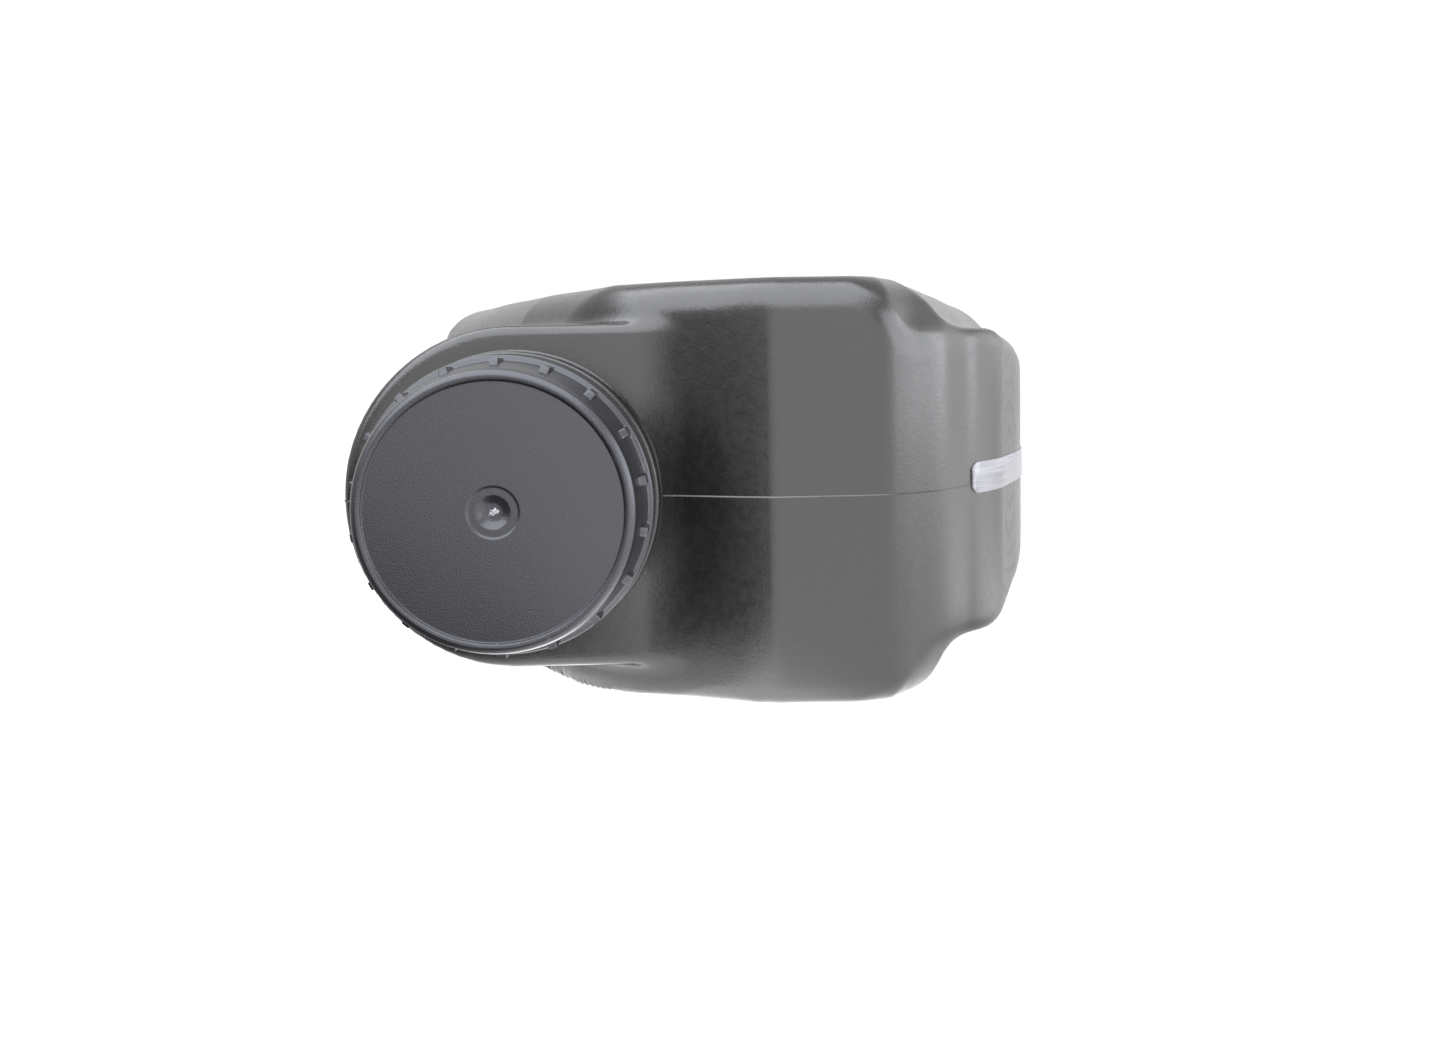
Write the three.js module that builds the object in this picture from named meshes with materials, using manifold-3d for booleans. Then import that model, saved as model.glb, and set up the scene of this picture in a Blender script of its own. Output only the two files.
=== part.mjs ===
// Oil drain pan: a closed, flat, blow-moulded container with a catch basin in its upper face,
// a wide pour neck with a screw cap at one end, a threaded inlet in the basin and a vent.
// Millimetres, +Z up. It lies flat on Z = 0, its pour end points to -Y, and the middle of its
// bounding box stands over the origin.
import * as THREE from "three";
import { mergeVertices } from "three/addons/utils/BufferGeometryUtils.js";
import Module from "manifold-3d";

const wasm = await Module();
wasm.setup();

// ---- driving dimensions -------------------------------------------------------------------
const WIDTH = 260;
const THICKNESS = 124;
const LENGTH = 360;
const WALL = 3;
const GAP = 0.3; // between pieces that touch

const PARTING_Z = 61; // height of the mould's parting plane
const FAR_Y = LENGTH / 2;
const RIDGE_Y = -154; // front of the tank's blunt end
const EDGE = 12; // rounding of the broad faces' edges, across
const EDGE_RISE = 15; // and up
const MARGIN_THICKNESS = 97; // the thinner margin along the right side

const NECK_X = -61.4;
const BOSS_RADIUS = 50.8;
const PLATFORM_Y = -142; // flat end of the neck's boss
const CAP_LIP_Y = -152; // open edge of the pour cap
const CAP_HEIGHT = 28;
const CAP_LIP_RADIUS = 42;
const CAP_BORE = 37;
const CAP_RIBS = 18;
const NECK_RADIUS = 34.6;
const NECK_BORE = 31;
const NECK_TOP = 22; // above the cap's open edge
const LINER_THICKNESS = 1.2;

const BASIN_DEPTH = 30;
const BASIN_DRAFT = 10;
const INLET_X = -24;
const INLET_Y = 60;
const INLET_HOLE = 23;
const VENT_X = 22;
const VENT_Y = -108;
const VENT_HOLE = 10;
const VENT_POCKET_RADIUS = 20;
const VENT_POCKET_DEPTH = 15;

const GRIP_SLOT = { x0: 72, x1: 102, y0: 56, y1: 142 }; // hand hole
const GRIP_THICKNESS = 44; // of the grip bar, up and down
const GRIP_BAY = 14; // how far the pinched-in bay reaches past the hand hole
const GROOVE_DEPTH = 3;
const GROOVE_WIDTH = 10;
const GROOVE_YS = [-40, 30, 100];

const POUR_THREAD = { pitch: 6, root: 2.6, crest: 1.6, sides: 24 };
const INLET_THREAD = { pitch: 5, root: 2.1, crest: 1.3, sides: 20 };
const VENT_THREAD = { pitch: 3, root: 1.25, crest: 0.75, sides: 16 };

// ---- solids -------------------------------------------------------------------------------
// A closed geometry as a manifold solid. A geometry that is inside out is turned round.
function solid(geometry) {
  const bare = geometry.clone();
  for (const name of Object.keys(bare.attributes)) {
    if (name !== "position") bare.deleteAttribute(name);
  }
  const merged = mergeVertices(bare, 1e-4);
  const vertProperties = merged.attributes.position.array;
  const triVerts = new Uint32Array(merged.index.array);
  let made = new wasm.Manifold(new wasm.Mesh({ numProp: 3, vertProperties, triVerts }));
  if (made.volume() < 0) {
    triVerts.reverse();
    made = new wasm.Manifold(new wasm.Mesh({ numProp: 3, vertProperties, triVerts }));
  }
  return made;
}

function geometryOf(made) {
  const mesh = made.getMesh();
  const geometry = new THREE.BufferGeometry();
  geometry.setAttribute("position", new THREE.BufferAttribute(mesh.vertProperties, mesh.numProp));
  geometry.setIndex(new THREE.BufferAttribute(mesh.triVerts, 1));
  const flat = geometry.toNonIndexed();
  flat.computeVertexNormals();
  return flat;
}

const joined = (solids) => solids.reduce((all, one) => all.add(one));

// An outline from corners [x, y, radius], each corner rounded by an arc of short chords.
const CHORD_ANGLE = Math.PI / 11;
function roundedOutline(corners) {
  const points = [];
  corners.forEach(([x, y, radius], i) => {
    const corner = new THREE.Vector2(x, y);
    const before = corners[(i + corners.length - 1) % corners.length];
    const after = corners[(i + 1) % corners.length];
    const into = corner.clone().sub(new THREE.Vector2(before[0], before[1])).normalize();
    const away = new THREE.Vector2(after[0], after[1]).sub(corner).normalize();
    const turn = Math.atan2(into.cross(away), into.dot(away));
    const side = Math.sign(turn);
    const reach = radius * Math.tan(Math.abs(turn) / 2);
    const inward = new THREE.Vector2(-into.y, into.x).multiplyScalar(side * radius);
    const centre = corner.clone().addScaledVector(into, -reach).add(inward);
    const from = Math.atan2(-inward.y, -inward.x);
    const chords = Math.max(1, Math.round(Math.abs(turn) / CHORD_ANGLE));
    for (let k = 0; k <= chords; k++) {
      const angle = from + (turn * k) / chords;
      const out = new THREE.Vector2(Math.cos(angle), Math.sin(angle));
      points.push(centre.clone().addScaledVector(out, radius));
    }
  });
  return new THREE.Shape(points);
}

// A block that stands on an outline between two heights, with rounded edges above and below.
function block(corners, low, high, { edge, rise, inset = 0, steps = 3 }) {
  const geometry = new THREE.ExtrudeGeometry(roundedOutline(corners), {
    depth: high - low - 2 * (rise + inset),
    bevelThickness: rise,
    bevelSize: edge,
    bevelOffset: -edge - inset,
    bevelSegments: steps,
  });
  return solid(geometry.translate(0, 0, low + rise + inset));
}

// A recess cut down from a height: its wall leans in by draft from its mouth to its floor.
function recess(corners, floor, mouth, draft, grow = 0) {
  const over = 1;
  const depth = mouth + over - floor + grow;
  const geometry = new THREE.ExtrudeGeometry(roundedOutline(corners), {
    depth: 40,
    bevelThickness: depth,
    bevelSize: draft,
    bevelOffset: -draft + grow,
    bevelSegments: 1,
  });
  return solid(geometry.translate(0, 0, mouth + over));
}

// A turned piece: profile points [radius, height] about +Z.
function turned(profile, sides) {
  const points = profile.map(([r, h]) => new THREE.Vector2(r, h));
  return solid(new THREE.LatheGeometry([...points, points[0]], sides).rotateX(Math.PI / 2));
}

const drum = (radius, low, high, sides) =>
  turned([[0, low], [radius, low], [radius, high], [0, high]], sides);

function slab(x0, x1, y0, y1, z0, z1) {
  const geometry = new THREE.BoxGeometry(x1 - x0, y1 - y0, z1 - z0);
  return solid(geometry.translate((x0 + x1) / 2, (y0 + y1) / 2, (z0 + z1) / 2));
}

// A right-handed screw thread about +Z: a tooth swept along a helix from root to crest radius.
function thread(rootRadius, crestRadius, low, turns, { pitch, root, crest, sides }) {
  const sink = crestRadius > rootRadius ? -0.6 : 0.6; // how far the tooth sinks into its wall
  const section = [
    [rootRadius + sink, -root / 2],
    [crestRadius, -crest / 2],
    [crestRadius, crest / 2],
    [rootRadius + sink, root / 2],
  ];
  const steps = Math.round(turns * sides);
  const positions = [];
  for (let i = 0; i <= steps; i++) {
    const angle = (i * 2 * Math.PI) / sides;
    for (const [r, h] of section) {
      positions.push(r * Math.cos(angle), r * Math.sin(angle), low + h + (pitch * i) / sides);
    }
  }
  const index = [0, 1, 2, 0, 2, 3];
  const end = steps * 4;
  index.push(end, end + 2, end + 1, end, end + 3, end + 2);
  for (let i = 0; i < steps; i++) {
    for (let k = 0; k < 4; k++) {
      const a = i * 4 + k;
      const b = i * 4 + ((k + 1) % 4);
      index.push(a, a + 4, b, b, a + 4, b + 4);
    }
  }
  const geometry = new THREE.BufferGeometry();
  geometry.setAttribute("position", new THREE.Float32BufferAttribute(positions, 3));
  geometry.setIndex(index);
  return solid(geometry);
}

// ---- where each turned piece stands -------------------------------------------------------
const atNeck = new THREE.Matrix4()
  .makeTranslation(NECK_X, CAP_LIP_Y, PARTING_Z)
  .multiply(new THREE.Matrix4().makeRotationX(Math.PI / 2)); // local +Z points out, to -Y
const neckSolid = (made) => solid(geometryOf(made).applyMatrix4(atNeck));
const neckHeight = (y) => CAP_LIP_Y - y; // a world Y as a height on the neck's own axis

const BASIN_FLOOR = THICKNESS - BASIN_DEPTH;
const VENT_FLOOR = THICKNESS - VENT_POCKET_DEPTH;

// ---- tank shell ---------------------------------------------------------------------------
const RIGHT_X = WIDTH / 2;
const LEFT_X = -WIDTH / 2;
const SHOULDER_Y = 42; // where the tapered end reaches full width

const TANK_OUTLINE = [
  [10, RIDGE_Y, 24],
  [50, RIDGE_Y, 24],
  [68, -138, 20],
  [RIGHT_X - 12, SHOULDER_Y, 30],
  [RIGHT_X - 12, FAR_Y, 30],
  [LEFT_X, FAR_Y, 30],
  [LEFT_X + 9, 26, 60],
  [-68, -86, 40],
  [-40, -135, 60],
];
const MARGIN_OUTLINE = [
  [30, -147, 16],
  [57.5, -147, 13],
  [85, -120.5, 40],
  [102, -79, 60],
  [RIGHT_X, SHOULDER_Y, 60],
  [RIGHT_X, FAR_Y, 32],
  [30, FAR_Y, 16],
];
const BASIN_OUTLINE = [
  [-42, -62, 18],
  [30, -62, 18],
  [44, 20, 30],
  [44, 152, 22],
  [-104, 152, 22],
  [-104, 40, 30],
];
const SLOT_CORNER = 14;

// The solid bulk of the tank. With an inset it is the space inside the wall.
function bulk(inset) {
  const rounding = { edge: EDGE, rise: EDGE_RISE, inset };
  const tank = block(TANK_OUTLINE, 0, THICKNESS, rounding);
  const half = MARGIN_THICKNESS / 2;
  const softer = { edge: 8, rise: 10, inset };
  const margin = block(MARGIN_OUTLINE, PARTING_Z - half, PARTING_Z + half, softer);

  const bossRight = 60; // how far right of the neck's axis the boss runs, inside the tank
  const bossDepth = SHOULDER_Y - 14 - PLATFORM_Y;
  const r = BOSS_RADIUS;
  const corners = [[-r, -r, r - 0.5], [bossRight, -r, 9], [bossRight, r, 9], [-r, r, r - 0.5]];
  const frontEdge = 4;
  const boss = block(corners, 0, bossDepth, { edge: frontEdge, rise: frontEdge, inset, steps: 2 });
  const outward = neckSolid(boss.translate([0, 0, neckHeight(PLATFORM_Y) - bossDepth]));
  return joined([tank, margin, outward]);
}

// Everything that is pressed into the bulk from outside. Grown, it is the same hollow with the
// wall's thickness added to it.
function hollows(grow) {
  const { x0, x1, y0, y1 } = GRIP_SLOT;
  const slotCorners = (spread, right) => [
    [x0 - spread, y0 - spread, SLOT_CORNER],
    [right, y0 - spread, SLOT_CORNER],
    [right, y1 + spread, SLOT_CORNER],
    [x0 - spread, y1 + spread, SLOT_CORNER],
  ];
  const mid = { edge: 0.01, rise: 0.01, steps: 1, inset: -grow };
  const slot = block(slotCorners(0, x1), -5, THICKNESS + 5, mid);

  const bay = slotCorners(GRIP_BAY, RIGHT_X + 30);
  const gripTop = PARTING_Z + GRIP_THICKNESS / 2;
  const gripFoot = PARTING_Z - GRIP_THICKNESS / 2;
  const upper = recess(bay, gripTop, THICKNESS, GRIP_BAY - 2, grow);
  const lower = recess(bay, -gripFoot, 0, GRIP_BAY - 2, grow);
  const turnedOver = solid(geometryOf(lower).rotateX(Math.PI).translate(0, y0 + y1, 0));

  const basin = recess(BASIN_OUTLINE, BASIN_FLOOR, THICKNESS, BASIN_DRAFT, grow);
  const pocket = drum(VENT_POCKET_RADIUS + grow, VENT_FLOOR - grow, THICKNESS + 5, 24);
  const grooves = GROOVE_YS.map((y) => {
    const half = GROOVE_WIDTH / 2 + grow;
    const reach = 44 + 0.35 * (y - GROOVE_YS[0]) + grow;
    const centre = -20;
    return slab(centre - reach, centre + reach, y - half, y + half, -5, GROOVE_DEPTH + grow);
  });
  const vent = pocket.translate([VENT_X, VENT_Y, 0]);
  return joined([slot, upper, turnedOver, basin, vent, ...grooves]);
}

function tankShell() {
  const beadRadius = 42.9;
  const beadFoot = neckHeight(PLATFORM_Y) - 2;
  const neck = turned(
    [
      [NECK_BORE, beadFoot],
      [beadRadius, beadFoot],
      [beadRadius, neckHeight(-150.4)],
      [beadRadius - 1, neckHeight(-151.2)],
      [NECK_RADIUS, neckHeight(-151.2)],
      [NECK_RADIUS, NECK_TOP - 1],
      [NECK_RADIUS - 1, NECK_TOP],
      [NECK_BORE, NECK_TOP],
    ],
    40,
  ).add(thread(NECK_RADIUS, NECK_RADIUS + 1.9, 7, 1.6, POUR_THREAD));
  const bore = drum(NECK_BORE, neckHeight(PLATFORM_Y) - 20, NECK_TOP + 1, 40);
  const inlet = drum(INLET_HOLE, BASIN_FLOOR - 10, BASIN_FLOOR + 5, 28);
  const ventHole = drum(VENT_HOLE, VENT_FLOOR - 10, VENT_FLOOR + 5, 20);

  const outside = bulk(0).subtract(hollows(0)).add(neckSolid(neck));
  const inside = bulk(WALL).subtract(hollows(WALL)).add(neckSolid(bore));
  return outside
    .subtract(inside)
    .subtract(inlet.translate([INLET_X, INLET_Y, 0]))
    .subtract(ventHole.translate([VENT_X, VENT_Y, 0]));
}

// ---- pour cap -----------------------------------------------------------------------------
const DISC_FOOT = CAP_HEIGHT - 4.2; // underside of the cap's disc

function pourCap() {
  const face = CAP_HEIGHT - 1;
  const body = turned(
    [
      [0, DISC_FOOT],
      [CAP_BORE, DISC_FOOT],
      [CAP_BORE, 1],
      [CAP_BORE + 1, 0],
      [CAP_LIP_RADIUS, 0],
      [CAP_LIP_RADIUS, 9.5],
      [40.4, 11],
      [38.8, 23],
      [38, 26.8],
      [36.4, CAP_HEIGHT],
      [35, face],
      [5, face],
      [3, face - 1.5],
      [0, face - 1.5],
    ],
    48,
  );
  const rib = slab(38.4, 41.1, -1.25, 1.25, 10, 19.3);
  const ribs = Array.from({ length: CAP_RIBS }, (_, i) =>
    rib.rotate([0, 0, ((i + 0.5) * 360) / CAP_RIBS]),
  );
  const tooth = thread(CAP_BORE, CAP_BORE - 1.8, 4, 1.6, POUR_THREAD);
  return joined([body, tooth, ...ribs]);
}

function pourCapLiner() {
  const top = DISC_FOOT - GAP;
  return drum(CAP_BORE - 1, top - LINER_THICKNESS, top, 40);
}

// ---- inlet and vent: a threaded collar in the wall, a plug, and a ring seal ----------------
// A plugged hole stands on its floor. Heights are above that floor.
const INLET = {
  floor: BASIN_FLOOR,
  hole: INLET_HOLE,
  flange: 29,
  flangeTop: 3.2,
  foot: -15,
  bore: 20.5,
  ledge: 17.5,
  thread: INLET_THREAD,
  tooth: 1.3,
  collarThread: [-9, 1.5],
  plugThread: [-6.5, 1.2],
  stemFoot: -9.6,
  sealRadius: 22.6,
  sealSize: 1.5,
  head: 26,
  headThickness: 4.4,
  sides: 28,
};
const VENT = {
  floor: VENT_FLOOR,
  hole: VENT_HOLE,
  flange: 13.5,
  flangeTop: 2.2,
  foot: -11,
  bore: 8.1,
  ledge: 6,
  thread: VENT_THREAD,
  tooth: 1.1,
  collarThread: [-7, 1.7],
  plugThread: [-5.5, 1.4],
  stemFoot: -7.6,
  sealRadius: 9.6,
  sealSize: 0.9,
  head: 11.5,
  headThickness: 3,
  sides: 20,
};

function collar(fit) {
  const body = turned(
    [
      [fit.ledge, fit.foot],
      [fit.hole - GAP, fit.foot],
      [fit.hole - GAP, GAP],
      [fit.flange, GAP],
      [fit.flange, fit.flangeTop - 1],
      [fit.flange - 1, fit.flangeTop],
      [fit.bore + 0.6, fit.flangeTop],
      [fit.bore, fit.flangeTop - 0.6],
      [fit.bore, fit.foot + 2],
      [fit.ledge, fit.foot + 2],
    ],
    fit.sides,
  );
  const [low, turns] = fit.collarThread;
  return body.add(thread(fit.bore, fit.bore - fit.tooth, low, turns, fit.thread));
}

function ringSeal(fit) {
  const middle = fit.flangeTop + GAP + fit.sealSize;
  const corner = fit.sealSize / Math.cos(Math.PI / 8);
  const profile = Array.from({ length: 8 }, (_, i) => {
    const angle = ((i + 0.5) * Math.PI) / 4;
    return [fit.sealRadius + corner * Math.cos(angle), middle + corner * Math.sin(angle)];
  });
  return turned(profile, fit.sides);
}

const headFoot = (fit) => fit.flangeTop + 2 * (GAP + fit.sealSize);

function plugBody(fit) {
  const foot = headFoot(fit);
  const top = foot + fit.headThickness;
  const stem = fit.bore - fit.tooth - 0.6;
  const hollow = stem - 2.4;
  const body = turned(
    [
      [0, foot + 1.4],
      [hollow, foot + 1.4],
      [hollow, fit.stemFoot],
      [stem, fit.stemFoot],
      [stem, foot],
      [fit.head, foot],
      [fit.head, top - 1],
      [fit.head - 1, top],
      [0, top],
    ],
    fit.sides,
  );
  const [low, turns] = fit.plugThread;
  return body.add(thread(stem, stem + fit.tooth + 0.1, low, turns, fit.thread));
}

function inletPlug() {
  const top = headFoot(INLET) + INLET.headThickness;
  const bar = slab(-20, 20, -3.5, 3.5, top - 1, top + 9);
  const hub = drum(9, top - 1, top + 6, 24);
  return joined([plugBody(INLET), bar, hub]);
}

function ventPlug() {
  const top = headFoot(VENT) + VENT.headThickness;
  const wing = slab(-9, 9, -1.5, 1.5, top - 1, top + 3.2);
  const hub = drum(4, top - 1, top + 2, 16);
  return joined([plugBody(VENT), wing, hub]);
}

// A cup that hangs from the collar's ledge, slotted round its wall and pierced in its floor.
function inletStrainer() {
  const rimFoot = INLET.foot + 2 + GAP;
  const wall = INLET.ledge - 0.7;
  const cupFoot = INLET.foot - 18;
  const cup = turned(
    [
      [0, cupFoot],
      [wall, cupFoot],
      [wall, rimFoot],
      [INLET.bore - 0.7, rimFoot],
      [INLET.bore - 0.7, rimFoot + 1.2],
      [wall - 1.4, rimFoot + 1.2],
      [wall - 1.4, cupFoot + 1.4],
      [0, cupFoot + 1.4],
    ],
    30,
  );
  const cuts = [];
  const slots = 10;
  for (let i = 0; i < slots; i++) {
    const slot = slab(wall - 4, wall + 2, -1.6, 1.6, cupFoot + 4, INLET.foot - 2);
    cuts.push(slot.rotate([0, 0, (i * 360) / slots]));
  }
  const hole = drum(2.4, cupFoot - 1, cupFoot + 3, 8);
  const holes = 7;
  for (let i = 0; i < holes; i++) {
    cuts.push(hole.translate([10, 0, 0]).rotate([0, 0, (i * 360) / holes]));
  }
  return cup.subtract(joined(cuts));
}

// ---- assembly -----------------------------------------------------------------------------
const BLACK_SHELL = { color: 0x47474a, roughness: 0.5, metalness: 0 };
const BLACK_CAP = { color: 0x4a4b4f, roughness: 0.45, metalness: 0 };
const RUBBER = { color: 0x161616, roughness: 0.8, metalness: 0 };
const FOAM = { color: 0xd9d8d2, roughness: 0.9, metalness: 0 };

const drainPan = new THREE.Group();
const neck = new THREE.Group();
const inletGroup = new THREE.Group();
const ventGroup = new THREE.Group();
neck.applyMatrix4(atNeck);
inletGroup.position.set(INLET_X, INLET_Y, BASIN_FLOOR);
ventGroup.position.set(VENT_X, VENT_Y, VENT_FLOOR);
drainPan.add(neck, inletGroup, ventGroup);

function place(parent, name, made, look) {
  const piece = new THREE.Mesh(geometryOf(made), new THREE.MeshStandardMaterial(look));
  piece.name = name;
  parent.add(piece);
}

place(drainPan, "tank_shell", tankShell(), BLACK_SHELL);
place(neck, "pour_cap", pourCap(), BLACK_CAP);
place(neck, "pour_cap_liner", pourCapLiner(), FOAM);
place(inletGroup, "inlet_collar", collar(INLET), BLACK_CAP);
place(inletGroup, "inlet_strainer", inletStrainer(), BLACK_CAP);
place(inletGroup, "inlet_plug", inletPlug(), BLACK_CAP);
place(inletGroup, "inlet_plug_seal", ringSeal(INLET), RUBBER);
place(ventGroup, "vent_collar", collar(VENT), BLACK_CAP);
place(ventGroup, "vent_plug", ventPlug(), BLACK_CAP);
place(ventGroup, "vent_plug_seal", ringSeal(VENT), RUBBER);

export default drainPan;
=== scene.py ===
import math

import bmesh
import bpy
import numpy as np
from mathutils import Matrix, Vector


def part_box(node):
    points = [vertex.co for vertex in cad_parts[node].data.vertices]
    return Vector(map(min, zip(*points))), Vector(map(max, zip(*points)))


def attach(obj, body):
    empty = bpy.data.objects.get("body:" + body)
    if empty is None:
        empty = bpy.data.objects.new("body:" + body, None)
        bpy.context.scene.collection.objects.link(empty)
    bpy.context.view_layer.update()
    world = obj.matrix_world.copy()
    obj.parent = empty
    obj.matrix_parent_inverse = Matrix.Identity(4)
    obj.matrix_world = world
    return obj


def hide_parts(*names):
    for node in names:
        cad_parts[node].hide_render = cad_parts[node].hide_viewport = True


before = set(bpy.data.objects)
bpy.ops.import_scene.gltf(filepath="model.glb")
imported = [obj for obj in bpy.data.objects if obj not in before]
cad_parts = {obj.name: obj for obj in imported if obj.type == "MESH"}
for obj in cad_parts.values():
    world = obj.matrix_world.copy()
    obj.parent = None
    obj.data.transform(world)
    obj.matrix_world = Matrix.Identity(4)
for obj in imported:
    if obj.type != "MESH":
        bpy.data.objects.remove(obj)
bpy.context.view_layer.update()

MM = 0.001
TAU = 2 * math.pi


def node_box(node):
    low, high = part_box(node)
    return [c / MM for c in low], [c / MM for c in high]


# ---- places and sizes, from the frame -----------------------------------------------------
TANK_LOW, TANK_HIGH = node_box("tank_shell")
CAP_LOW, CAP_HIGH = node_box("pour_cap")
INLET_LOW, INLET_HIGH = node_box("inlet_collar")
VENT_LOW, VENT_HIGH = node_box("vent_collar")

RIGHT = TANK_HIGH[0]
LEFT = TANK_LOW[0]
FAR = TANK_HIGH[1]
THICK = TANK_HIGH[2]
PARTING = (CAP_LOW[2] + CAP_HIGH[2]) / 2
NECK_X = (CAP_LOW[0] + CAP_HIGH[0]) / 2
CAP_LIP = CAP_HIGH[1]
CAP_HEIGHT = CAP_HIGH[1] - CAP_LOW[1]
INLET_X = (INLET_LOW[0] + INLET_HIGH[0]) / 2
INLET_Y = (INLET_LOW[1] + INLET_HIGH[1]) / 2
VENT_X = (VENT_LOW[0] + VENT_HIGH[0]) / 2
VENT_Y = (VENT_LOW[1] + VENT_HIGH[1]) / 2

WALL = 3
RIDGE = -154
PLATFORM = -142
BOSS_RADIUS = 50.8
BOSS_END = 28
BOSS_REACH = 60
SHOULDER = 42
BASIN_FLOOR = THICK - 30
VENT_FLOOR = THICK - 15
VENT_POCKET = 20
INLET_HOLE = 23
VENT_HOLE = 10
MARGIN_HALF = 47.8
NECK_BORE = 33
NECK_WALL = 34.6
NECK_BEAD = 42.9
NECK_THREAD = {"pitch": 6, "turns": 1.6, "root": 2.6, "crest": 1.6}
GRIP = {"x0": 72, "x1": 102, "y0": 56, "y1": 142, "corner": 14, "half": 22, "bay": 2}
GROOVES = (-40, 30, 100)

TANK_CORNERS = [
    (15, RIDGE, 9),
    (50, RIDGE, 18),
    (68, -138, 16),
    (RIGHT - 12, SHOULDER, 30),
    (RIGHT - 12, FAR, 30),
    (LEFT, FAR, 30),
    (LEFT + 11.5, 20.7, 60),
    (-68, -86, 200),
    (-40, -132.2, 60),
    (7.5, -152.3, 110),
]
MARGIN_CORNERS = [
    (30, -147.5, 8),
    (57.5, -147.5, 14),
    (85, -120.5, 60),
    (102, -79, 150),
    (RIGHT, SHOULDER, 60),
    (RIGHT, FAR, 32),
    (30, FAR, 16),
]
BASIN_CORNERS = [
    (-42, -62, 18),
    (30, -62, 18),
    (44, 20, 30),
    (44, 152, 22),
    (-104, 152, 22),
    (-104, 40, 30),
]


# ---- distance fields: negative inside a solid, in millimetres -----------------------------
def cut_round(a, b, radius):
    """Both a and b, with the edge where they meet rounded off."""
    over = np.hypot(np.maximum(a + radius, 0), np.maximum(b + radius, 0))
    return np.minimum(np.maximum(a, b), -radius) + over


def join_round(a, b, radius):
    """Either a or b, with the corner between them filled by a fillet."""
    under = np.hypot(np.maximum(radius - a, 0), np.maximum(radius - b, 0))
    return np.maximum(np.minimum(a, b), radius) - under


def outline(x, y, corners):
    """A convex outline of corners (x, y, radius), counter-clockwise."""
    count = len(corners)
    planes, headings = [], []
    for i in range(count):
        x0, y0, _ = corners[i]
        x1, y1, _ = corners[(i + 1) % count]
        length = math.hypot(x1 - x0, y1 - y0)
        nx, ny = (y1 - y0) / length, (x0 - x1) / length
        planes.append((x - x0) * nx + (y - y0) * ny)
        headings.append(math.atan2(y1 - y0, x1 - x0))
    result = None
    for i, (_, _, radius) in enumerate(corners):
        turn = (headings[i] - headings[i - 1]) % TAU
        fillet = radius * math.tan(turn / 2) * math.sin(turn)
        corner = cut_round(planes[i - 1], planes[i], max(fillet, 0.3))
        result = corner if result is None else np.maximum(result, corner)
    return result


def box_outline(x, y, x0, x1, y0, y1, radius):
    corners = [(x0, y0, radius), (x1, y0, radius), (x1, y1, radius), (x0, y1, radius)]
    return outline(x, y, corners)


def smooth_step(low, high, value):
    t = np.clip((value - low) / (high - low), 0, 1)
    return t * t * (3 - 2 * t)


def upper_share(z):
    """From 0 in the lower half of the tank to 1 in the upper half."""
    middle = THICK / 2
    return smooth_step(middle - 20, middle + 20, z)


def edge_radius(x, y, above):
    """How round the tank's long edges are: crisp at the blunt end, softer round its sides."""
    right = smooth_step(36, 58, x)
    far_right = smooth_step(54, 70, x)
    left = smooth_step(-10, -50, x)
    below = 1 - above
    radius = 5 + 5 * above + (8 + 7 * above) * right + (11 * above - 4) * left
    radius = radius + 12 * below * far_right
    return np.minimum(radius + 4 * smooth_step(-60, 40, y), 26)


def tank_bulk(x, y, z):
    """The closed outer form: the tank, the margin along its right and the neck's boss."""
    middle = THICK / 2
    above = upper_share(z)
    faces = np.abs(z - middle) - middle
    tank = cut_round(outline(x, y, TANK_CORNERS), faces, edge_radius(x, y, above))

    rim_radius = 4 + (15 - 5 * above) * smooth_step(-122, -70, y)
    half = MARGIN_HALF - 1.8 * (1 - above)
    margin = cut_round(outline(x, y, MARGIN_CORNERS), np.abs(z - PARTING) - half, rim_radius)
    body = join_round(tank, margin, 5)

    across = np.hypot(np.minimum(x - NECK_X, 0), z - PARTING) - BOSS_RADIUS
    ends = np.maximum(PLATFORM - y, np.maximum(y - BOSS_END, x - NECK_X - BOSS_REACH))
    boss = cut_round(across, ends, 3)
    return join_round(body, boss, 3)


def grip_hollow(x, y, z):
    """The hand hole and the bays above and below the grip bar."""
    x0, x1, y0, y1 = GRIP["x0"], GRIP["x1"], GRIP["y0"], GRIP["y1"]
    bay, corner, flare = GRIP["bay"], GRIP["corner"], 0.22
    hole = box_outline(x, y, x0, x1, y0, y1, corner)
    off_bar = np.abs(z - PARTING) - GRIP["half"]
    spread = np.minimum(off_bar, 50) * flare
    mouth = box_outline(x, y, x0 - bay, RIGHT + 60, y0 - bay, y1 + bay, corner)
    sunk = cut_round(mouth - spread, -off_bar, 5)
    return join_round(hole, sunk, 5)


def basin_hollow(x, y, z):
    """The catch basin. Its walls lean out by 1 in 3 and reach their corners at the rim."""
    inset, slope, squeeze = 10, 3, 0.95
    lean = (z - BASIN_FLOOR) / slope
    wall = (outline(x, y, BASIN_CORNERS) + inset - lean) * squeeze
    return cut_round(wall, BASIN_FLOOR - z, 7)


def groove_hollow(x, y, z):
    """The stiffening grooves across the underside, each longer than the last."""
    centre, radius, depth = -20, 5, 3
    result = None
    for at in GROOVES:
        half = 44 + 0.35 * (at - GROOVES[0])
        run = np.hypot(np.maximum(np.abs(x - centre) - half + radius, 0), y - at)
        one = cut_round(run - radius, z - depth, 1.5)
        result = one if result is None else np.minimum(result, one)
    return result


def waviness(x, y, z):
    """The slight unevenness of a blown wall."""
    a = np.sin(x * 0.071 + 1.3) * np.sin(y * 0.053 + 0.4)
    b = np.sin(y * 0.117 + z * 0.061) * np.sin(x * 0.031 - z * 0.093 + 2)
    return 0.11 * a + 0.07 * b


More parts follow.
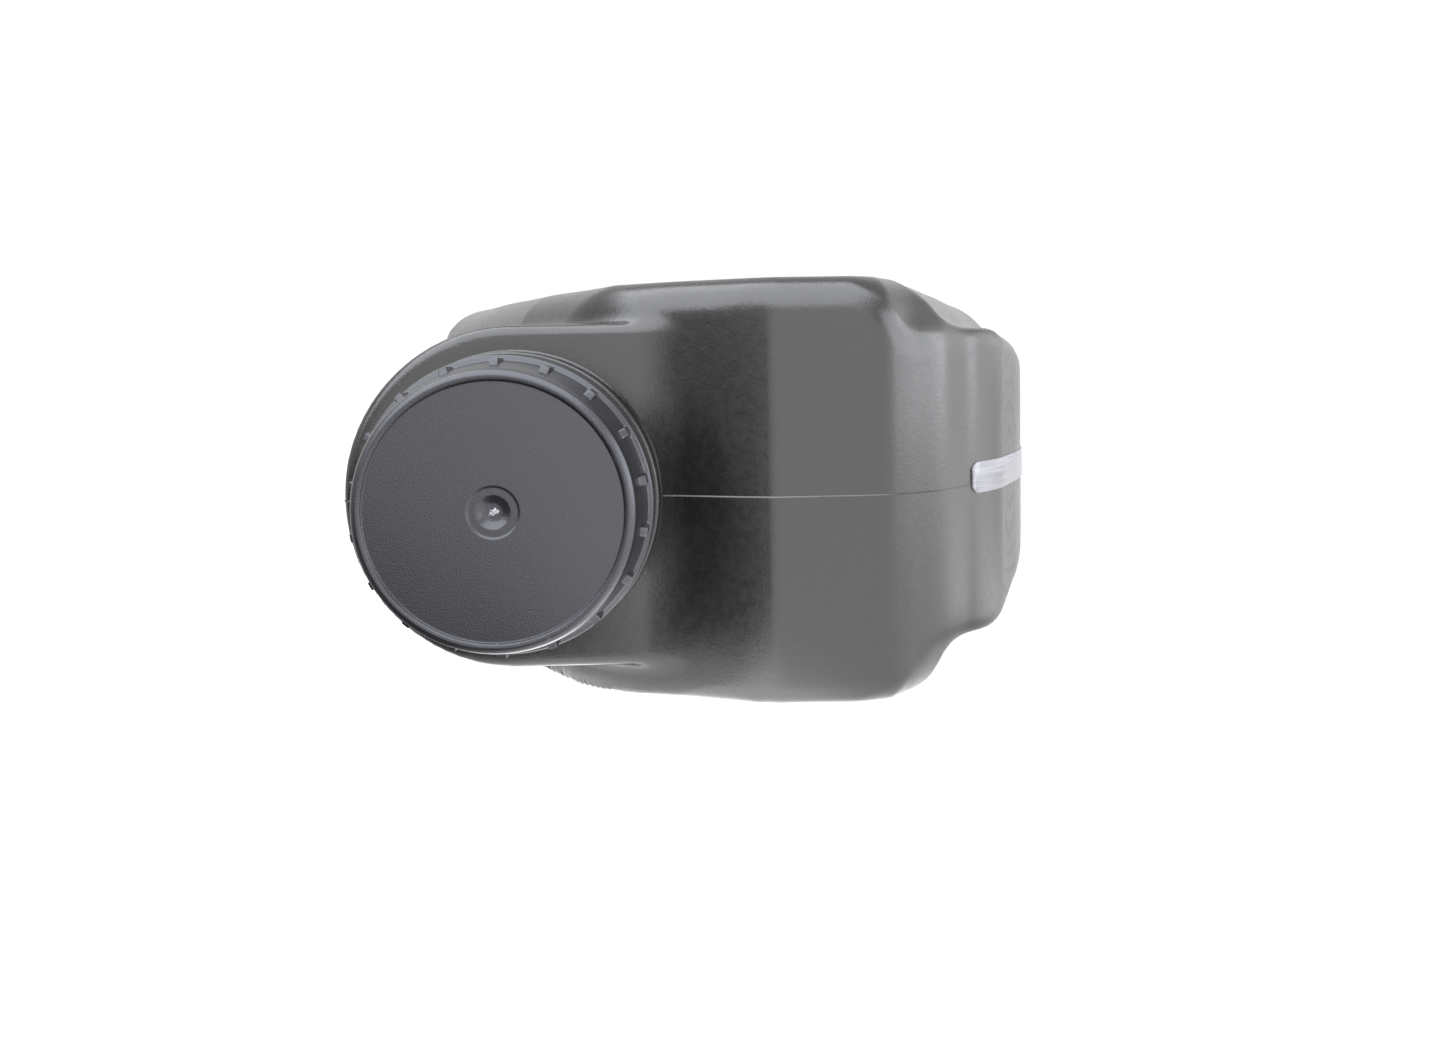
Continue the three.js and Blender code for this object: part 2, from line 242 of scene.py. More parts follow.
def tank_outside(x, y, z):
    body = tank_bulk(x, y, z)
    body = cut_round(body, -grip_hollow(x, y, z), 5)
    body = cut_round(body, -basin_hollow(x, y, z), 4)
    pocket = np.hypot(x - VENT_X, y - VENT_Y) - VENT_POCKET
    pocket = cut_round(pocket, VENT_FLOOR - z, 3)
    body = cut_round(body, -pocket, 2.5)
    return cut_round(body, -groove_hollow(x, y, z), 1.5)


def tank_skin(x, y, z):
    """The outside of the blown wall, closed."""
    return tank_outside(x, y, z) + waviness(x, y, z)


def tank_space(x, y, z):
    """The space inside the blown wall."""
    return tank_skin(x, y, z) + WALL


# ---- meshes -------------------------------------------------------------------------------
def surface_net(field, low, high, step):
    """Vertices and quads of a field's zero surface. The vertices are moved onto it at the end."""
    axes = [np.arange(low[i], high[i] + step, step) for i in range(3)]
    value = field(axes[0][:, None, None], axes[1][None, :, None], axes[2][None, None, :])
    value = np.broadcast_to(value, [len(a) for a in axes])
    inside = value < 0
    shape = [len(a) - 1 for a in axes]
    offsets = [(i, j, k) for i in (0, 1) for j in (0, 1) for k in (0, 1)]

    def shifted(array, offset):
        part = tuple(slice(o, o + n) for o, n in zip(offset, shape))
        return array[part]

    count = sum(shifted(inside, o).astype(np.int8) for o in offsets)
    mixed = (count > 0) & (count < 8)
    cells = np.argwhere(mixed)
    number = np.full(shape, -1, np.int64)
    number[mixed] = np.arange(len(cells))
    corner = [value[tuple((cells + o).T)] for o in offsets]
    total = np.zeros((len(cells), 3))
    hits = np.zeros(len(cells))
    for a, start in enumerate(offsets):
        for b, end in enumerate(offsets):
            if b <= a or sum(abs(s - e) for s, e in zip(start, end)) != 1:
                continue
            crossed = (corner[a] < 0) != (corner[b] < 0)
            gap = np.where(crossed, corner[a] - corner[b], 1)
            t = np.where(crossed, corner[a] / gap, 0)[:, None]
            point = np.array(start) + t * (np.array(end) - np.array(start))
            total += np.where(crossed[:, None], point, 0)
            hits += crossed
    verts = np.array(low) + step * (cells + total / hits[:, None])

    faces = []
    for axis in range(3):
        u, v = (axis + 1) % 3, (axis + 2) % 3
        lower = [slice(1, -1)] * 3
        upper = [slice(1, -1)] * 3
        lower[axis] = slice(0, -1)
        upper[axis] = slice(1, None)
        near, far = inside[tuple(lower)], inside[tuple(upper)]
        for flip in (False, True):
            edge = np.argwhere(far & ~near if flip else near & ~far)
            edge[:, u] += 1
            edge[:, v] += 1
            ring = []
            for du, dv in ((-1, -1), (0, -1), (0, 0), (-1, 0)):
                cell = edge.copy()
                cell[:, u] += du
                cell[:, v] += dv
                ring.append(number[tuple(cell.T)])
            quads = np.stack(ring[::-1] if flip else ring, 1)
            faces.append(quads)
    faces = np.concatenate(faces)

    small = 0.02
    for _ in range(3):
        x, y, z = verts.T
        here = field(x, y, z)
        slope = np.stack(
            [
                field(x + small, y, z) - field(x - small, y, z),
                field(x, y + small, z) - field(x, y - small, z),
                field(x, y, z + small) - field(x, y, z - small),
            ],
            1,
        ) / (2 * small)
        steep = np.maximum((slope**2).sum(1), 0.25)
        move = slope * (here / steep)[:, None]
        length = np.linalg.norm(move, axis=1, keepdims=True)
        verts = verts - move * np.minimum(1, 0.4 * step / np.maximum(length, 1e-9))
    return verts, faces


def new_object(name, verts, faces, place=None):
    """An object from vertices in millimetres. place carries a turned piece to where it stands."""
    mesh = bpy.data.meshes.new(name)
    verts = np.asarray(verts, float)
    mesh.from_pydata((verts * MM).tolist(), [], [list(map(int, f)) for f in faces])
    mesh.validate()
    if place is not None:
        mesh.transform(place)
    obj = bpy.data.objects.new(name, mesh)
    bpy.context.scene.collection.objects.link(obj)
    return obj


def shade(obj, angle=38):
    """Smooth shading, with the edges sharper than the angle left crisp."""
    bpy.ops.object.select_all(action="DESELECT")
    obj.select_set(True)
    bpy.context.view_layer.objects.active = obj
    bpy.ops.object.shade_smooth()
    obj.data.set_sharp_from_angle(angle=math.radians(angle))


def combine(obj, others, operation="UNION"):
    """Joins or cuts obj with the others, and removes them."""
    for other in others:
        tool = obj.modifiers.new("combine", "BOOLEAN")
        tool.object = other
        tool.operation = operation
        tool.solver = "MANIFOLD"
        bpy.context.view_layer.objects.active = obj
        bpy.ops.object.modifier_apply(modifier=tool.name)
        bpy.data.objects.remove(other)


def rounded_profile(points, spacing=0.5):
    """A profile from points (radius, height, fillet), its corners rounded by arcs."""
    result = []
    last = len(points) - 1
    for i, point in enumerate(points):
        here = Vector(point[:2])
        fillet = point[2] if len(point) > 2 else 0
        if fillet == 0 or i in (0, last):
            result.append(here)
            continue
        into = (here - Vector(points[i - 1][:2])).normalized()
        away = (Vector(points[i + 1][:2]) - here).normalized()
        turn = into.angle_signed(away)
        reach = fillet * math.tan(abs(turn) / 2)
        start = here - into * reach
        chords = max(2, round(abs(turn) / math.radians(18)))
        side = Vector((into.y, -into.x)) * math.copysign(fillet, turn)
        centre = start + side
        for k in range(chords + 1):
            angle = -turn * k / chords
            arm = -side
            c, s = math.cos(angle), math.sin(angle)
            result.append(centre + Vector((arm.x * c - arm.y * s, arm.x * s + arm.y * c)))
    fine = [result[0]]
    for point in result[1:]:
        gap = (point - fine[-1]).length
        pieces = max(1, math.ceil(gap / spacing))
        start = fine[-1].copy()
        for k in range(1, pieces + 1):
            fine.append(start.lerp(point, k / pieces))
    return fine


def turned(name, points, place, angles=96, relief=None, closed=False, spacing=0.5):
    """A piece turned about its own +Z, its surface moved by relief(angle, radius, height)."""
    profile = rounded_profile(points, spacing)
    if isinstance(angles, int):
        angles = np.arange(angles) * TAU / angles
    rings = len(profile)
    count = len(angles)
    radius = np.array([p.x for p in profile])[:, None] * np.ones(count)
    height = np.array([p.y for p in profile])[:, None] * np.ones(count)
    theta = np.asarray(angles)[None, :] * np.ones((rings, 1))
    if relief is not None:
        radius, height = relief(theta, radius, height)
    xyz = np.stack([radius * np.cos(theta), radius * np.sin(theta), height], 2)
    verts = xyz.reshape(-1, 3)
    faces = []
    last = rings if closed else rings - 1
    for i in range(last):
        j = (i + 1) % rings
        for k in range(count):
            m = (k + 1) % count
            faces.append((i * count + k, j * count + k, j * count + m, i * count + m))
    obj = new_object(name, verts, faces, place)
    mesh = bmesh.new()
    mesh.from_mesh(obj.data)
    bmesh.ops.remove_doubles(mesh, verts=mesh.verts, dist=1e-6)
    bmesh.ops.dissolve_degenerate(mesh, edges=mesh.edges, dist=1e-7)
    bmesh.ops.recalc_face_normals(mesh, faces=mesh.faces)
    mesh.to_mesh(obj.data)
    mesh.free()
    return obj


def screw_tooth(theta, height, low, turns, pitch, root, crest):
    """From 0 to 1: how much of the thread's tooth stands at this angle and height."""
    best = np.zeros_like(height)
    for k in range(-1, math.ceil(turns) + 1):
        turn = theta / TAU + k
        off = np.abs(height - low - pitch * turn)
        tooth = np.clip((root / 2 - off) / ((root - crest) / 2), 0, 1)
        tooth = smooth_step(0, 1, tooth)
        ends = np.clip(turn * 10, 0, 1) * np.clip((turns - turn) * 10, 0, 1)
        best = np.maximum(best, tooth * ends)
    return best


def rounded_bar(name, length, width, low, high, place, radius=1.2):
    """A straight bar along the piece's own X, with all its edges rounded."""
    mesh = bmesh.new()
    bmesh.ops.create_cube(mesh, size=1)
    for v in mesh.verts:
        v.co = Vector((v.co.x * length, v.co.y * width, (high + low) / 2 + v.co.z * (high - low)))
    bmesh.ops.bevel(
        mesh, geom=mesh.edges[:], offset=radius, segments=5, profile=0.5, affect="EDGES"
    )
    obj_mesh = bpy.data.meshes.new(name)
    mesh.to_mesh(obj_mesh)
    mesh.free()
    obj_mesh.transform(Matrix.Scale(MM, 4))
    obj_mesh.transform(place)
    obj = bpy.data.objects.new(name, obj_mesh)
    bpy.context.scene.collection.objects.link(obj)
    return obj


# ---- materials ----------------------------------------------------------------------------
class Shader:
    """A node material, built up a node at a time."""

    def __init__(self, name):
        self.material = bpy.data.materials.new(name)
        self.material.use_nodes = True
        self.tree = self.material.node_tree
        self.base = self.tree.nodes["Principled BSDF"]
        self.coords = self.node("ShaderNodeTexCoord").outputs["Object"]

    def node(self, kind, **settings):
        made = self.tree.nodes.new(kind)
        for key, value in settings.items():
            setattr(made, key, value)
        return made

    def link(self, source, target):
        self.tree.links.new(source, target)

    def noise(self, scale, detail=2, roughness=0.5, stretch=None, distortion=0):
        made = self.node("ShaderNodeTexNoise")
        made.inputs["Scale"].default_value = scale
        made.inputs["Detail"].default_value = detail
        made.inputs["Roughness"].default_value = roughness
        made.inputs["Distortion"].default_value = distortion
        source = self.coords
        if stretch is not None:
            mapping = self.node("ShaderNodeMapping")
            mapping.inputs["Scale"].default_value = stretch
            self.link(source, mapping.inputs["Vector"])
            source = mapping.outputs["Vector"]
        self.link(source, made.inputs["Vector"])
        return made.outputs["Fac"]

    def ramp(self, source, low, high, out_low, out_high):
        made = self.node("ShaderNodeMapRange", interpolation_type="SMOOTHSTEP")
        made.inputs["From Min"].default_value = low
        made.inputs["From Max"].default_value = high
        made.inputs["To Min"].default_value = out_low
        made.inputs["To Max"].default_value = out_high
        self.link(source, made.inputs["Value"])
        return made.outputs["Result"]

    def distance(self, spot):
        """How far a place is from the spot, in metres."""
        made = self.node("ShaderNodeVectorMath", operation="DISTANCE")
        made.inputs[1].default_value = spot
        self.link(self.coords, made.inputs[0])
        return made.outputs["Value"]

    def math(self, operation, a, b):
        made = self.node("ShaderNodeMath", operation=operation)
        for socket, value in zip(made.inputs, (a, b)):
            if isinstance(value, (int, float)):
                socket.default_value = value
            else:
                self.link(value, socket)
        return made.outputs["Value"]

    def mix(self, factor, a, b):
        made = self.node("ShaderNodeMix", data_type="RGBA")
        for socket, value in zip((made.inputs[0], made.inputs[6], made.inputs[7]), (factor, a, b)):
            if isinstance(value, (int, float, tuple)):
                socket.default_value = value
            else:
                self.link(value, socket)
        return made.outputs[2]

    def bump(self, layers):
        """Bumps in a chain. Each layer is (height, depth in metres)."""
        normal = None
        for height, depth in layers:
            made = self.node("ShaderNodeBump")
            made.inputs["Strength"].default_value = 1
            made.inputs["Distance"].default_value = depth
            self.link(height, made.inputs["Height"])
            if normal is not None:
                self.link(normal, made.inputs["Normal"])
            normal = made.outputs["Normal"]
        self.link(normal, self.base.inputs["Normal"])


def grey(value, blue=0.0):
    return (value, value, value + blue, 1)


def edge_wear(shader, amount):
    """How worn a spot is: raised edges, broken up by noise."""
    worn = shader.node("ShaderNodeNewGeometry").outputs["Pointiness"]
    ridge = shader.ramp(worn, 0.51, 0.56, 0, 1)
    broken = shader.ramp(shader.noise(60, 4), 0.4, 0.65, 0, amount)
    return shader.math("MULTIPLY", ridge, broken)


def flow_arcs(shader):
    """Faint arcs that the blown plastic leaves round the trimmed land on the right shoulder."""
    flatten, spacing = 0.7, 0.0055
    x, y, z = 0.095, -0.098, (PARTING + 2) * MM
    squash = shader.node("ShaderNodeMapping")
    squash.inputs["Location"].default_value = (-x, -y, -z * flatten)
    squash.inputs["Scale"].default_value = (1, 1, flatten)
    shader.link(shader.coords, squash.inputs["Vector"])
    reach = shader.node("ShaderNodeVectorMath", operation="LENGTH")
    shader.link(squash.outputs["Vector"], reach.inputs[0])
    away = reach.outputs["Value"]
    wander = shader.math("MULTIPLY", shader.noise(22, 2, 0.5), 0.02)
    phase = shader.math("MULTIPLY", shader.math("ADD", away, wander), TAU / spacing)
    rings = shader.ramp(shader.math("SINE", phase, 0), 0.2, 1, 0, 1)
    near = shader.ramp(away, 0.02, 0.055, 1, 0)
    return shader.math("MULTIPLY", rings, near)


def polyethylene():
    """Blow-moulded black polyethylene: satin, with a fine pebbled grain from the mould."""
    s = Shader("black_polyethylene")
    patches = s.noise(9, 3, 0.55)
    streaks = s.noise(14, 3, 0.6, stretch=(3.2, 0.5, 3.2), distortion=0.6)
    pebble = s.noise(1200, 2, 0.5)
    coarse = s.noise(420, 2, 0.5)
    arcs = flow_arcs(s)
    tone = s.mix(s.ramp(patches, 0.3, 0.7, 0, 1), grey(0.0008, 0.0001), grey(0.0014, 0.0001))
    dusty = s.ramp(s.noise(700, 3, 0.7), 0.72, 0.80, 0, 0.35)
    tone = s.mix(dusty, tone, grey(0.05, 0.002))
    tone = s.mix(edge_wear(s, 0.25), tone, grey(0.05, 0.002))
    s.link(tone, s.base.inputs["Base Color"])
    rough = s.ramp(streaks, 0.3, 0.7, 0.25, 0.28)
    rough = s.math("ADD", rough, s.ramp(coarse, 0.3, 0.7, -0.02, 0.03))
    rough = s.math("ADD", rough, s.math("MULTIPLY", arcs, 0.04))
    s.link(rough, s.base.inputs["Roughness"])
    s.base.inputs["IOR"].default_value = 1.51
    s.bump([(patches, 0.0004), (arcs, 0.00001), (coarse, 0.000012), (pebble, 0.000035)])
    return s.material


def trimmed_polyethylene_painted_highlight():
    """The same plastic where a blade left it smooth and faintly scored; its pale tone is a painted
    highlight.
    """
    s = Shader("trimmed_polyethylene_painted_highlight")
    scores = s.noise(40, 3, 0.6, stretch=(1, 1, 30))
    # painted highlight: the pale grey tone stands in for the light that the land reflects
    tone = s.mix(s.ramp(scores, 0.3, 0.7, 0, 1), grey(0.08, 0.012), grey(0.13, 0.016))
    s.link(tone, s.base.inputs["Base Color"])
    s.link(s.ramp(scores, 0.3, 0.7, 0.18, 0.30), s.base.inputs["Roughness"])
    s.bump([(scores, 0.00003)])
    return s.material


def polypropylene():
    """Injection-moulded black polypropylene: satin, with a spark-eroded grain."""
    s = Shader("black_polypropylene")
    cloud = s.noise(30, 3, 0.6)
    grain = s.noise(1900, 2, 0.6)
    tone = s.mix(s.ramp(cloud, 0.3, 0.7, 0, 1), grey(0.0024, 0.0006), grey(0.0036, 0.0009))
    specks = s.ramp(s.noise(900, 2, 0.6), 0.74, 0.80, 0, 0.5)
    tone = s.mix(specks, tone, grey(0.10, 0.004))
    tone = s.mix(edge_wear(s, 0.3), tone, grey(0.06, 0.003))
    s.link(tone, s.base.inputs["Base Color"])
    s.link(s.ramp(cloud, 0.3, 0.7, 0.31, 0.36), s.base.inputs["Roughness"])
    s.base.inputs["IOR"].default_value = 1.52
    s.base.inputs["Specular Tint"].default_value = (0.91, 0.92, 1, 1)
    s.bump([(cloud, 0.00012), (grain, 0.00006)])
    return s.material


def broken_polypropylene():
    """The whitened stub where the moulding gate was snapped off."""
    s = Shader("broken_polypropylene")
    torn = s.noise(1600, 4, 0.7)
    tone = s.mix(s.ramp(torn, 0.35, 0.65, 0, 1), grey(0.06, 0.006), grey(0.30, 0.03))
    s.link(tone, s.base.inputs["Base Color"])
    s.link(s.ramp(torn, 0.3, 0.7, 0.45, 0.7), s.base.inputs["Roughness"])
    s.bump([(torn, 0.0003)])
    return s.material


def nitrile():
    """Black seal rubber with a faint bloom."""
    s = Shader("seal_rubber")
    bloom = s.noise(260, 4, 0.6)
    tone = s.mix(s.ramp(bloom, 0.45, 0.7, 0, 1), grey(0.012), grey(0.030))
    s.link(tone, s.base.inputs["Base Color"])
    s.link(s.ramp(bloom, 0.3, 0.7, 0.5, 0.7), s.base.inputs["Roughness"])
    s.bump([(s.noise(1800, 2), 0.00002)])
    return s.material


def foam():
    """Off-white closed-cell polyethylene foam."""
    s = Shader("liner_foam")
    cells = s.node("ShaderNodeTexVoronoi")
    cells.inputs["Scale"].default_value = 1700
    s.link(s.coords, cells.inputs["Vector"])
    pores = cells.outputs["Distance"]
    tone = s.mix(s.ramp(pores, 0.1, 0.6, 0, 1), (0.5, 0.49, 0.45, 1), (0.72, 0.71, 0.67, 1))
    s.link(tone, s.base.inputs["Base Color"])
    s.link(s.ramp(pores, 0, 1, 0.7, 0.9), s.base.inputs["Roughness"])
    s.bump([(pores, 0.00008)])
    return s.material


# ---- pieces -------------------------------------------------------------------------------
def finish_piece(obj, body, material, nodes=()):
    obj.data.materials.clear()
    obj.data.materials.append(material)
    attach(obj, body)
    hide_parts(*nodes)


AT_NECK = Matrix.Translation(Vector((NECK_X, CAP_LIP, PARTING)) * MM) @ Matrix.Rotation(
    math.radians(90), 4, "X"
)
AT_INLET = Matrix.Translation(Vector((INLET_X, INLET_Y, BASIN_FLOOR)) * MM)
AT_VENT = Matrix.Translation(Vector((VENT_X, VENT_Y, VENT_FLOOR)) * MM)


def neck_height(y):
    """A world Y as a height on the neck's own axis, which points out of the neck."""
    return CAP_LIP - y


def make_tank(material):
    low = (LEFT - 4, RIDGE - 4, -4)
    high = (RIGHT + 4, FAR + 4, THICK + 4)
    step = 1.8
    tank = new_object("tank_shell_moulding", *surface_net(tank_skin, low, high, step))
    space = new_object("tank_space", *surface_net(tank_space, low, high, 3.0))

    def hole(radius, start, end, place, sides):
        points = [(0, start), (radius, start), (radius, end), (0, end)]
        return turned("hole", points, place, sides, spacing=40)

    foot = neck_height(PLATFORM)
    bore = hole(NECK_BORE, foot - 20, foot + 20, AT_NECK, 160)
    inlet = hole(INLET_HOLE, -10, 10, AT_INLET, 120)
    vent = hole(VENT_HOLE, -10, 10, AT_VENT, 80)
    combine(tank, [space, bore, inlet, vent], "DIFFERENCE")

    inside, root = NECK_BORE - 2, foot - 2.4
    bead_top, lip, tooth_height = foot + 9.2, 22, 1.9
    points = [
        (inside, root),
        (NECK_BEAD + 0.9, root),
        (NECK_BEAD + 0.9, foot + 0.3, 0.2),
        (NECK_BEAD, foot + 1.2, 0.6),
        (NECK_BEAD, bead_top, 0.6),
        (NECK_WALL, bead_top, 0.8),
        (NECK_WALL, lip, 0.9),
        (inside, lip, 0.9),
    ]

    def relief(theta, radius, height):
        tooth = screw_tooth(theta, height, 7, **NECK_THREAD)
        on_wall = np.abs(radius - NECK_WALL) < 0.4
        return radius + np.where(on_wall, tooth_height * tooth, 0), height

    neck = turned("neck", points, AT_NECK, 240, relief, closed=True)
    combine(tank, [neck])
    shade(tank)
    finish_piece(tank, "tank", material, ["tank_shell"])
    return tank


def parting_path(tank):
    """The outside of the tank in the mould's parting plane, from one side of the neck round
    to the other, in millimetres."""
    cut = bmesh.new()
    cut.from_mesh(tank.data)
    plane = bmesh.ops.bisect_plane(
        cut, geom=cut.verts[:] + cut.edges[:] + cut.faces[:],
        plane_co=(0, 0, PARTING * MM + 1e-5), plane_no=(0, 0, 1), dist=1e-7,
    )
    links = {}
    for item in plane["geom_cut"]:
        if isinstance(item, bmesh.types.BMEdge):
            a, b = item.verts
            links.setdefault(a, []).append(b)
            links.setdefault(b, []).append(a)
    loops, seen = [], set()
    for start in links:
        loop, here, before = [], start, None
        while here not in seen:
            seen.add(here)
            loop.append(here.co / MM)
            onward = [v for v in links[here] if v is not before]
            before, here = here, (onward[0] if onward else here)
        loops.append(loop)
    cut.free()

    def length(loop):
        return sum((a - b).length for a, b in zip(loop, loop[1:]))

    path = max(loops, key=length)
    signed = sum(a.x * b.y - b.x * a.y for a, b in zip(path, path[1:] + path[:1]))
    path = path if signed > 0 else path[::-1]
    # The cut also runs in through the neck and round the inside of the wall, which is left out.
    near_skin = 0.4
    outer = [abs(float(tank_skin(p.x, p.y, p.z))) < near_skin for p in path]
    first = next(i for i in range(len(path)) if outer[i] and not outer[i - 1])
    path = path[first:] + path[:first]
    outer = outer[first:] + outer[:first]
    return [p for p, keep in zip(path, outer) if keep]


def sweep(name, path, sections):
    """A solid swept along a level path. Each section is a ring of (reach outward, rise)."""
    verts, faces = [], []
    count, ring = len(path), len(sections[0])
    for i, point in enumerate(path):
        after = path[min(i + 1, count - 1)]
        before = path[max(i - 1, 0)]
        along = (after - before).normalized()
        out = Vector((along.y, -along.x, 0))
        for reach, rise in sections[i]:
            verts.append(point + out * reach + Vector((0, 0, rise)))
    for i in range(count - 1):
        j = i + 1
        for k in range(ring):
            m = (k + 1) % ring
            faces.append((i * ring + k, j * ring + k, j * ring + m, i * ring + m))
    faces.append(tuple(range(ring)))
    faces.append(tuple((count - 1) * ring + k for k in reversed(range(ring))))
    obj = new_object(name, [list(v) for v in verts], faces)
    mesh = bmesh.new()
    mesh.from_mesh(obj.data)
    bmesh.ops.recalc_face_normals(mesh, faces=mesh.faces)
    mesh.to_mesh(obj.data)
    mesh.free()
    shade(obj)
    return obj


def make_parting_flash(path, material):
    """The thin bead that the mould's parting line leaves round the tank."""
    half, proud, sunk = 0.22, 0.34, 0.5
    bead = [(-sunk, -half), (proud * 0.6, -half), (proud, 0), (proud * 0.6, half), (-sunk, half)]
    flash = sweep("tank_parting_flash", path, [bead] * len(path))
    finish_piece(flash, "tank", material)


LAND = {
    "start": -130, "end": -58, "foot": -2.6, "top": 7,
    "corner": 2.6, "proud": 0.55, "sunk": 1.5,
}


def make_trimmed_land(path, material):
    """The flat land on the right shoulder where the moulding's flash was trimmed away."""
    margin, step, window = 12, 0.5, 17
    side = [p for p in path if p.x > 60 and LAND["start"] - margin < p.y < LAND["end"] + margin]
    side.sort(key=lambda p: p.y)
    along = np.arange(side[0].y, side[-1].y, step)
    across = np.interp(along, [p.y for p in side], [p.x for p in side])
    weights = np.hanning(window)
    padded = np.pad(across, window // 2, mode="edge")
    across = np.convolve(padded, weights / weights.sum(), "valid")

    length = LAND["end"] - LAND["start"]
    corner, proud, sunk = LAND["corner"], LAND["proud"], LAND["sunk"]
    near_end = np.linspace(0, 1, 13) ** 2 * 0.1
    spots = np.concatenate([near_end, np.linspace(0.1, 0.9, 60)[1:-1], 1 - near_end[::-1]])
    line, sections = [], []
    for spot in spots:
        y = LAND["start"] + spot * length
        line.append(Vector((np.interp(y, along, across), y, PARTING)))
        inset = corner - min(corner, min(spot, 1 - spot) * length)
        cut = corner - math.sqrt(max(corner**2 - inset**2, 0))
        foot = LAND["foot"] + cut
        top = LAND["top"] - cut
        sections.append([
            (-sunk, foot), (proud * 0.6, foot), (proud, foot + 0.3),
            (proud, top - 0.3), (proud * 0.6, top), (-sunk, top),
        ])
    land = sweep("tank_trimmed_land", line, sections)
    finish_piece(land, "tank", material)


CAP_BORE = 37
CAP_RIM = 42
DISC_FOOT = CAP_HEIGHT - 4.2
CAP_RIBS = 18


def cap_angles():
    """Angles round the cap, close together at the sides of the ribs."""
    period = TAU / CAP_RIBS
    side = [1.5, 1.7, 1.9, 2.1]
    rib = [-s for s in reversed(side)] + [-0.8, 0, 0.8] + side
    gap = [1.8 * k for k in range(2, 10)]
    return np.array([
        (i + 0.5) * period + math.radians(o) for i in range(CAP_RIBS) for o in rib + gap
    ])


def cap_relief(theta, radius, height):
    """The ribs on the skirt and the thread inside it."""
    period, rib_radius, skirt_radius, tooth_height = 360 / CAP_RIBS, 41.1, 38.2, 1.8
    off = np.abs((np.degrees(theta) % period) - period / 2)
    across = smooth_step(2.05, 1.55, off)
    along = smooth_step(19.6, 19.15, height) * smooth_step(9.4, 10.2, height)
    proud = np.maximum(rib_radius - radius, 0) * across * along
    ribs = np.where(radius > skirt_radius, proud, 0)

    tooth = screw_tooth(theta, height, 4, **NECK_THREAD)
    inner = (np.abs(radius - CAP_BORE) < 0.05) & (height < DISC_FOOT - 0.5)
    thread = np.where(inner, tooth_height * tooth, 0)
    return radius + ribs - thread, height


def make_pour_cap(material):
    face = CAP_HEIGHT - 1
    points = [
        (0, DISC_FOOT),
        (CAP_BORE, DISC_FOOT, 0.8),
        (CAP_BORE, 0, 0.9),
        (CAP_RIM, 0, 0.9),
        (CAP_RIM, 10.2, 0.7),
        (40.35, 10.9, 0.4),
        (39.0, 21.4, 0.6),
        (38.6, 24.8, 1.5),
        (37.9, 27.0, 1.2),
        (36.6, CAP_HEIGHT, 1.1),
        (35.4, CAP_HEIGHT - 0.3, 0.5),
        (35.0, face, 0.3),
        (7.2, face, 0.4),
        (6.7, face - 0.35, 0.3),
        (4.6, face - 0.35, 0.6),
        (2.6, face - 1.5, 1.6),
        (0, face - 1.6),
    ]
    cap = turned("pour_cap_moulding", points, AT_NECK, cap_angles(), cap_relief, spacing=0.4)
    shade(cap, 45)
    finish_piece(cap, "pour_cap", material, ["pour_cap"])


def make_gate_mark(material):
    """The ragged stub of the moulding gate, in the dimple at the middle of the cap's face."""
    face = CAP_HEIGHT - 1
    points = [
        (0, face - 1.9),
        (1.0, face - 1.9),
        (1.15, face - 1.3, 0.3),
        (0.75, face - 0.35, 0.3),
        (0.2, face - 0.5, 0.1),
        (0, face - 0.5),
    ]

    def broken(theta, radius, height):
        ragged = 0.28 * np.sin(2 * theta + 0.6) + 0.2 * np.sin(5 * theta + height * 3)
        lean = 0.35 * np.sin(theta + 1) * (height > face - 1)
        return radius * (1 + ragged), height + lean

    mark = turned("pour_cap_gate_mark", points, AT_NECK, 40, broken, spacing=0.12)
    shade(mark, 25)
    finish_piece(mark, "pour_cap", material)


def make_liner(material):
    top = DISC_FOOT - 0.3
    points = [(0, top - 1.2), (36, top - 1.2, 0.3), (36, top, 0.3), (0, top)]
    liner = turned("pour_cap_foam_liner", points, AT_NECK, 120, spacing=2)
    shade(liner)
    finish_piece(liner, "pour_cap_seal", material, ["pour_cap_liner"])


INLET = {
    "hole": INLET_HOLE, "flange": 29, "flange_top": 3.2, "foot": -15, "bore": 20.5,
    "ledge": 17.5, "pitch": 5, "root": 2.1, "crest": 1.3, "tooth": 1.3,
    "collar_thread": (-9, 1.5), "plug_thread": (-6.5, 1.2), "stem_foot": -9.6,
    "seal_radius": 22.6, "seal_size": 1.5, "head": 26, "head_thickness": 4.4,
    "flutes": 30, "bar": (40, 7, 9), "hub": 9,
}
VENT = {
    "hole": VENT_HOLE, "flange": 13.5, "flange_top": 2.2, "foot": -11, "bore": 8.1,
    "ledge": 6, "pitch": 3, "root": 1.25, "crest": 0.75, "tooth": 1.1,
    "collar_thread": (-7, 1.7), "plug_thread": (-5.5, 1.4), "stem_foot": -7.6,
    "seal_radius": 9.6, "seal_size": 0.9, "head": 11.5, "head_thickness": 3,
    "flutes": 18, "bar": (18, 3, 3.2), "hub": 4,
}


